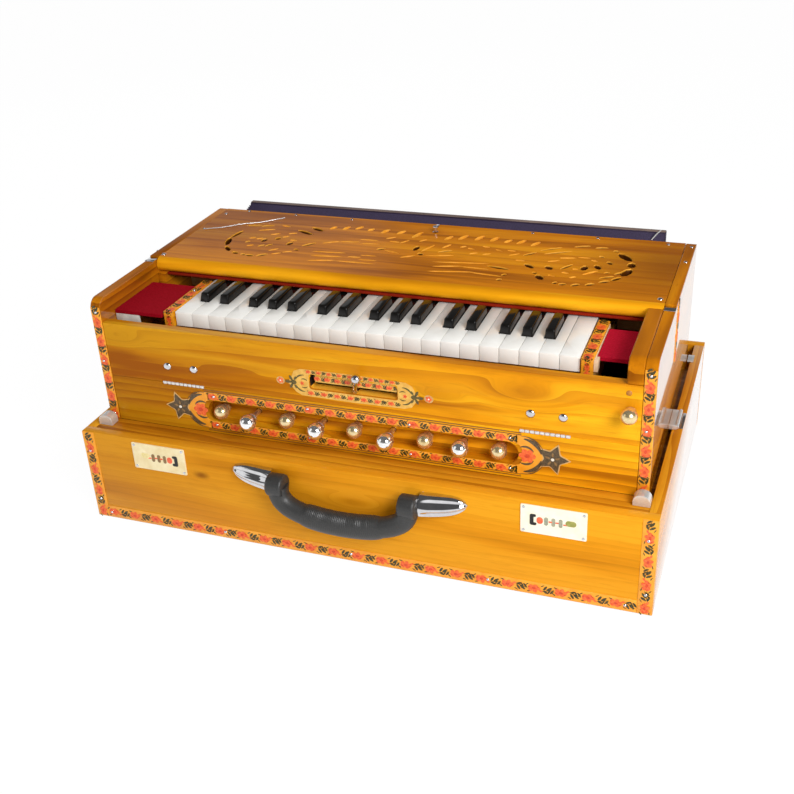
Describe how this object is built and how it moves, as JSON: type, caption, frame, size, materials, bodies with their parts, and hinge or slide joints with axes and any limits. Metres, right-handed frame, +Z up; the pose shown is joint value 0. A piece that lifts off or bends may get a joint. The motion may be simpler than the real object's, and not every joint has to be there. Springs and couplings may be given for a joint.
{
  "type": "folding hand harmonium",
  "caption": "Hand-pumped reed organ whose body stands in a shallow carrying case, with a sliding keyboard, stop knobs, rear bellows and a carrying handle.",
  "frame": {"origin": "middle of the carrying case's underside", "axes": "+X to the right along the keyboard, -Y to the player, +Z up"},
  "size_m": [0.664, 0.442, 0.2809],
  "materials": {
    "case_wood": "glossy honey lacquer",
    "body_wood": "glossy honey lacquer",
    "front_wood": "glossy honey lacquer",
    "panel_wood": "glossy honey lacquer",
    "cover_wood": "glossy honey lacquer",
    "plain_wood": "bare",
    "frame_wood": "satin",
    "bellows_ply": "dark satin",
    "bellows_cloth": "matt",
    "grip_plastic": "satin moulded",
    "bright_metal": "polished",
    "brass": "polished",
    "ivory_key": "polished",
    "ebony_key": "polished"
  },
  "bodies": {
    "case": {"case_tray": "case_wood", "carcass": "body_wood", "front_board": "front_wood", "stop_panel": "panel_wood", "top_cover": "cover_wood", "reed_board": "plain_wood", "bellows_folds": "bellows_cloth"},
    "bellows": {"bellows_board": "bellows_ply"},
    "handle": {"handle_grip": "grip_plastic"},
    "keyboard": {"key_frame": "frame_wood"},
    "coupler": {"coupler_knob": "brass"},
    "catch_left": {"side_catch_left": "bright_metal"},
    "catch_right": {"side_catch_right": "bright_metal"},
    "bellows_hook": {"bellows_catch": "bright_metal"},
    "stop_1": {"stop_knob_1": "brass"},
    "stop_2": {"stop_knob_2": "bright_metal"},
    "stop_3": {"stop_knob_3": "brass"},
    "stop_4": {"stop_knob_4": "bright_metal"},
    "stop_5": {"stop_knob_5": "brass"},
    "stop_6": {"stop_knob_6": "bright_metal"},
    "stop_7": {"stop_knob_7": "brass"},
    "stop_8": {"stop_knob_8": "bright_metal"},
    "stop_9": {"stop_knob_9": "brass"},
    "key_01_c": {"key_01_c": "ivory_key"},
    "key_02_cs": {"key_02_cs": "ebony_key"},
    "key_03_d": {"key_03_d": "ivory_key"},
    "key_04_ds": {"key_04_ds": "ebony_key"},
    "key_05_e": {"key_05_e": "ivory_key"},
    "key_06_f": {"key_06_f": "ivory_key"},
    "key_07_fs": {"key_07_fs": "ebony_key"},
    "key_08_g": {"key_08_g": "ivory_key"},
    "key_09_gs": {"key_09_gs": "ebony_key"},
    "key_10_a": {"key_10_a": "ivory_key"},
    "key_11_as": {"key_11_as": "ebony_key"},
    "key_12_b": {"key_12_b": "ivory_key"},
    "key_13_c": {"key_13_c": "ivory_key"},
    "key_14_cs": {"key_14_cs": "ebony_key"},
    "key_15_d": {"key_15_d": "ivory_key"},
    "key_16_ds": {"key_16_ds": "ebony_key"},
    "key_17_e": {"key_17_e": "ivory_key"},
    "key_18_f": {"key_18_f": "ivory_key"},
    "key_19_fs": {"key_19_fs": "ebony_key"},
    "key_20_g": {"key_20_g": "ivory_key"},
    "key_21_gs": {"key_21_gs": "ebony_key"},
    "key_22_a": {"key_22_a": "ivory_key"},
    "key_23_as": {"key_23_as": "ebony_key"},
    "key_24_b": {"key_24_b": "ivory_key"},
    "key_25_c": {"key_25_c": "ivory_key"},
    "key_26_cs": {"key_26_cs": "ebony_key"},
    "key_27_d": {"key_27_d": "ivory_key"},
    "key_28_ds": {"key_28_ds": "ebony_key"},
    "key_29_e": {"key_29_e": "ivory_key"},
    "key_30_f": {"key_30_f": "ivory_key"},
    "key_31_fs": {"key_31_fs": "ebony_key"},
    "key_32_g": {"key_32_g": "ivory_key"},
    "key_33_gs": {"key_33_gs": "ebony_key"},
    "key_34_a": {"key_34_a": "ivory_key"},
    "key_35_as": {"key_35_as": "ebony_key"},
    "key_36_b": {"key_36_b": "ivory_key"},
    "key_37_c": {"key_37_c": "ivory_key"}
  },
  "joints": [
    {"name": "bellows_hinge", "type": "hinge", "parent": "case", "child": "bellows", "pos_m": [0, 0.163, 0.122], "axis": [-1, 0, 0], "range_deg": [0, 24], "deforming": ["bellows_folds"]},
    {"name": "handle_swing", "type": "hinge", "parent": "case", "child": "handle", "pos_m": [0, -0.221, 0.097], "axis": [-1, 0, 0], "range_deg": [0, 90]},
    {"name": "scale_slide", "type": "slide", "parent": "case", "child": "keyboard", "axis": [1, 0, 0], "range_m": [-0.049, 0.03675]},
    {"name": "coupler_pull", "type": "slide", "parent": "case", "child": "coupler", "axis": [0, -1, 0], "range_m": [0, 0.012]},
    {"name": "catch_left_swing", "type": "hinge", "parent": "case", "child": "catch_left", "pos_m": [-0.3252, -0.006, 0.121], "axis": [0, -1, 0], "range_deg": [0, 100]},
    {"name": "catch_right_swing", "type": "hinge", "parent": "case", "child": "catch_right", "pos_m": [0.3252, -0.006, 0.121], "axis": [0, 1, 0], "range_deg": [0, 100]},
    {"name": "bellows_catch_turn", "type": "hinge", "parent": "case", "child": "bellows_hook", "pos_m": [0.0018, 0.1175, 0.2729], "axis": [0, 0, 1], "range_deg": [0, 90]},
    {"name": "stop_1_slide", "type": "slide", "parent": "case", "child": "stop_1", "axis": [0, -1, 0], "range_m": [0, 0.01]},
    {"name": "stop_2_slide", "type": "slide", "parent": "case", "child": "stop_2", "axis": [0, -1, 0], "range_m": [-0.015, 0]},
    {"name": "stop_3_slide", "type": "slide", "parent": "case", "child": "stop_3", "axis": [0, -1, 0], "range_m": [0, 0.01]},
    {"name": "stop_4_slide", "type": "slide", "parent": "case", "child": "stop_4", "axis": [0, -1, 0], "range_m": [-0.012, 0]},
    {"name": "stop_5_slide", "type": "slide", "parent": "case", "child": "stop_5", "axis": [0, -1, 0], "range_m": [0, 0.01]},
    {"name": "stop_6_slide", "type": "slide", "parent": "case", "child": "stop_6", "axis": [0, -1, 0], "range_m": [-0.013, 0]},
    {"name": "stop_7_slide", "type": "slide", "parent": "case", "child": "stop_7", "axis": [0, -1, 0], "range_m": [0, 0.01]},
    {"name": "stop_8_slide", "type": "slide", "parent": "case", "child": "stop_8", "axis": [0, -1, 0], "range_m": [-0.006, 0]},
    {"name": "stop_9_slide", "type": "slide", "parent": "case", "child": "stop_9", "axis": [0, -1, 0], "range_m": [0, 0.01]},
    {"name": "key_01_c_press", "type": "hinge", "parent": "keyboard", "child": "key_01_c", "pos_m": [0, -0.002, 0.233], "axis": [1, 0, 0], "range_deg": [0, 3.4], "stiffness_Nm_per_rad": 0.15, "springref_deg": -20.05},
    {"name": "key_02_cs_press", "type": "hinge", "parent": "keyboard", "child": "key_02_cs", "pos_m": [0, -0.002, 0.233], "axis": [1, 0, 0], "range_deg": [0, 3.4], "stiffness_Nm_per_rad": 0.15, "springref_deg": -20.05},
    {"name": "key_03_d_press", "type": "hinge", "parent": "keyboard", "child": "key_03_d", "pos_m": [0, -0.002, 0.233], "axis": [1, 0, 0], "range_deg": [0, 3.4], "stiffness_Nm_per_rad": 0.15, "springref_deg": -20.05},
    {"name": "key_04_ds_press", "type": "hinge", "parent": "keyboard", "child": "key_04_ds", "pos_m": [0, -0.002, 0.233], "axis": [1, 0, 0], "range_deg": [0, 3.4], "stiffness_Nm_per_rad": 0.15, "springref_deg": -20.05},
    {"name": "key_05_e_press", "type": "hinge", "parent": "keyboard", "child": "key_05_e", "pos_m": [0, -0.002, 0.233], "axis": [1, 0, 0], "range_deg": [0, 3.4], "stiffness_Nm_per_rad": 0.15, "springref_deg": -20.05},
    {"name": "key_06_f_press", "type": "hinge", "parent": "keyboard", "child": "key_06_f", "pos_m": [0, -0.002, 0.233], "axis": [1, 0, 0], "range_deg": [0, 3.4], "stiffness_Nm_per_rad": 0.15, "springref_deg": -20.05},
    {"name": "key_07_fs_press", "type": "hinge", "parent": "keyboard", "child": "key_07_fs", "pos_m": [0, -0.002, 0.233], "axis": [1, 0, 0], "range_deg": [0, 3.4], "stiffness_Nm_per_rad": 0.15, "springref_deg": -20.05},
    {"name": "key_08_g_press", "type": "hinge", "parent": "keyboard", "child": "key_08_g", "pos_m": [0, -0.002, 0.233], "axis": [1, 0, 0], "range_deg": [0, 3.4], "stiffness_Nm_per_rad": 0.15, "springref_deg": -20.05},
    {"name": "key_09_gs_press", "type": "hinge", "parent": "keyboard", "child": "key_09_gs", "pos_m": [0, -0.002, 0.233], "axis": [1, 0, 0], "range_deg": [0, 3.4], "stiffness_Nm_per_rad": 0.15, "springref_deg": -20.05},
    {"name": "key_10_a_press", "type": "hinge", "parent": "keyboard", "child": "key_10_a", "pos_m": [0, -0.002, 0.233], "axis": [1, 0, 0], "range_deg": [0, 3.4], "stiffness_Nm_per_rad": 0.15, "springref_deg": -20.05},
    {"name": "key_11_as_press", "type": "hinge", "parent": "keyboard", "child": "key_11_as", "pos_m": [0, -0.002, 0.233], "axis": [1, 0, 0], "range_deg": [0, 3.4], "stiffness_Nm_per_rad": 0.15, "springref_deg": -20.05},
    {"name": "key_12_b_press", "type": "hinge", "parent": "keyboard", "child": "key_12_b", "pos_m": [0, -0.002, 0.233], "axis": [1, 0, 0], "range_deg": [0, 3.4], "stiffness_Nm_per_rad": 0.15, "springref_deg": -20.05},
    {"name": "key_13_c_press", "type": "hinge", "parent": "keyboard", "child": "key_13_c", "pos_m": [0, -0.002, 0.233], "axis": [1, 0, 0], "range_deg": [0, 3.4], "stiffness_Nm_per_rad": 0.15, "springref_deg": -20.05},
    {"name": "key_14_cs_press", "type": "hinge", "parent": "keyboard", "child": "key_14_cs", "pos_m": [0, -0.002, 0.233], "axis": [1, 0, 0], "range_deg": [0, 3.4], "stiffness_Nm_per_rad": 0.15, "springref_deg": -20.05},
    {"name": "key_15_d_press", "type": "hinge", "parent": "keyboard", "child": "key_15_d", "pos_m": [0, -0.002, 0.233], "axis": [1, 0, 0], "range_deg": [0, 3.4], "stiffness_Nm_per_rad": 0.15, "springref_deg": -20.05},
    {"name": "key_16_ds_press", "type": "hinge", "parent": "keyboard", "child": "key_16_ds", "pos_m": [0, -0.002, 0.233], "axis": [1, 0, 0], "range_deg": [0, 3.4], "stiffness_Nm_per_rad": 0.15, "springref_deg": -20.05},
    {"name": "key_17_e_press", "type": "hinge", "parent": "keyboard", "child": "key_17_e", "pos_m": [0, -0.002, 0.233], "axis": [1, 0, 0], "range_deg": [0, 3.4], "stiffness_Nm_per_rad": 0.15, "springref_deg": -20.05},
    {"name": "key_18_f_press", "type": "hinge", "parent": "keyboard", "child": "key_18_f", "pos_m": [0, -0.002, 0.233], "axis": [1, 0, 0], "range_deg": [0, 3.4], "stiffness_Nm_per_rad": 0.15, "springref_deg": -20.05},
    {"name": "key_19_fs_press", "type": "hinge", "parent": "keyboard", "child": "key_19_fs", "pos_m": [0, -0.002, 0.233], "axis": [1, 0, 0], "range_deg": [0, 3.4], "stiffness_Nm_per_rad": 0.15, "springref_deg": -20.05},
    {"name": "key_20_g_press", "type": "hinge", "parent": "keyboard", "child": "key_20_g", "pos_m": [0, -0.002, 0.233], "axis": [1, 0, 0], "range_deg": [0, 3.4], "stiffness_Nm_per_rad": 0.15, "springref_deg": -20.05},
    {"name": "key_21_gs_press", "type": "hinge", "parent": "keyboard", "child": "key_21_gs", "pos_m": [0, -0.002, 0.233], "axis": [1, 0, 0], "range_deg": [0, 3.4], "stiffness_Nm_per_rad": 0.15, "springref_deg": -20.05},
    {"name": "key_22_a_press", "type": "hinge", "parent": "keyboard", "child": "key_22_a", "pos_m": [0, -0.002, 0.233], "axis": [1, 0, 0], "range_deg": [0, 3.4], "stiffness_Nm_per_rad": 0.15, "springref_deg": -20.05},
    {"name": "key_23_as_press", "type": "hinge", "parent": "keyboard", "child": "key_23_as", "pos_m": [0, -0.002, 0.233], "axis": [1, 0, 0], "range_deg": [0, 3.4], "stiffness_Nm_per_rad": 0.15, "springref_deg": -20.05},
    {"name": "key_24_b_press", "type": "hinge", "parent": "keyboard", "child": "key_24_b", "pos_m": [0, -0.002, 0.233], "axis": [1, 0, 0], "range_deg": [0, 3.4], "stiffness_Nm_per_rad": 0.15, "springref_deg": -20.05},
    {"name": "key_25_c_press", "type": "hinge", "parent": "keyboard", "child": "key_25_c", "pos_m": [0, -0.002, 0.233], "axis": [1, 0, 0], "range_deg": [0, 3.4], "stiffness_Nm_per_rad": 0.15, "springref_deg": -20.05},
    {"name": "key_26_cs_press", "type": "hinge", "parent": "keyboard", "child": "key_26_cs", "pos_m": [0, -0.002, 0.233], "axis": [1, 0, 0], "range_deg": [0, 3.4], "stiffness_Nm_per_rad": 0.15, "springref_deg": -20.05},
    {"name": "key_27_d_press", "type": "hinge", "parent": "keyboard", "child": "key_27_d", "pos_m": [0, -0.002, 0.233], "axis": [1, 0, 0], "range_deg": [0, 3.4], "stiffness_Nm_per_rad": 0.15, "springref_deg": -20.05},
    {"name": "key_28_ds_press", "type": "hinge", "parent": "keyboard", "child": "key_28_ds", "pos_m": [0, -0.002, 0.233], "axis": [1, 0, 0], "range_deg": [0, 3.4], "stiffness_Nm_per_rad": 0.15, "springref_deg": -20.05},
    {"name": "key_29_e_press", "type": "hinge", "parent": "keyboard", "child": "key_29_e", "pos_m": [0, -0.002, 0.233], "axis": [1, 0, 0], "range_deg": [0, 3.4], "stiffness_Nm_per_rad": 0.15, "springref_deg": -20.05},
    {"name": "key_30_f_press", "type": "hinge", "parent": "keyboard", "child": "key_30_f", "pos_m": [0, -0.002, 0.233], "axis": [1, 0, 0], "range_deg": [0, 3.4], "stiffness_Nm_per_rad": 0.15, "springref_deg": -20.05},
    {"name": "key_31_fs_press", "type": "hinge", "parent": "keyboard", "child": "key_31_fs", "pos_m": [0, -0.002, 0.233], "axis": [1, 0, 0], "range_deg": [0, 3.4], "stiffness_Nm_per_rad": 0.15, "springref_deg": -20.05},
    {"name": "key_32_g_press", "type": "hinge", "parent": "keyboard", "child": "key_32_g", "pos_m": [0, -0.002, 0.233], "axis": [1, 0, 0], "range_deg": [0, 3.4], "stiffness_Nm_per_rad": 0.15, "springref_deg": -20.05},
    {"name": "key_33_gs_press", "type": "hinge", "parent": "keyboard", "child": "key_33_gs", "pos_m": [0, -0.002, 0.233], "axis": [1, 0, 0], "range_deg": [0, 3.4], "stiffness_Nm_per_rad": 0.15, "springref_deg": -20.05},
    {"name": "key_34_a_press", "type": "hinge", "parent": "keyboard", "child": "key_34_a", "pos_m": [0, -0.002, 0.233], "axis": [1, 0, 0], "range_deg": [0, 3.4], "stiffness_Nm_per_rad": 0.15, "springref_deg": -20.05},
    {"name": "key_35_as_press", "type": "hinge", "parent": "keyboard", "child": "key_35_as", "pos_m": [0, -0.002, 0.233], "axis": [1, 0, 0], "range_deg": [0, 3.4], "stiffness_Nm_per_rad": 0.15, "springref_deg": -20.05},
    {"name": "key_36_b_press", "type": "hinge", "parent": "keyboard", "child": "key_36_b", "pos_m": [0, -0.002, 0.233], "axis": [1, 0, 0], "range_deg": [0, 3.4], "stiffness_Nm_per_rad": 0.15, "springref_deg": -20.05},
    {"name": "key_37_c_press", "type": "hinge", "parent": "keyboard", "child": "key_37_c", "pos_m": [0, -0.002, 0.233], "axis": [1, 0, 0], "range_deg": [0, 3.4], "stiffness_Nm_per_rad": 0.15, "springref_deg": -20.05}
  ]
}
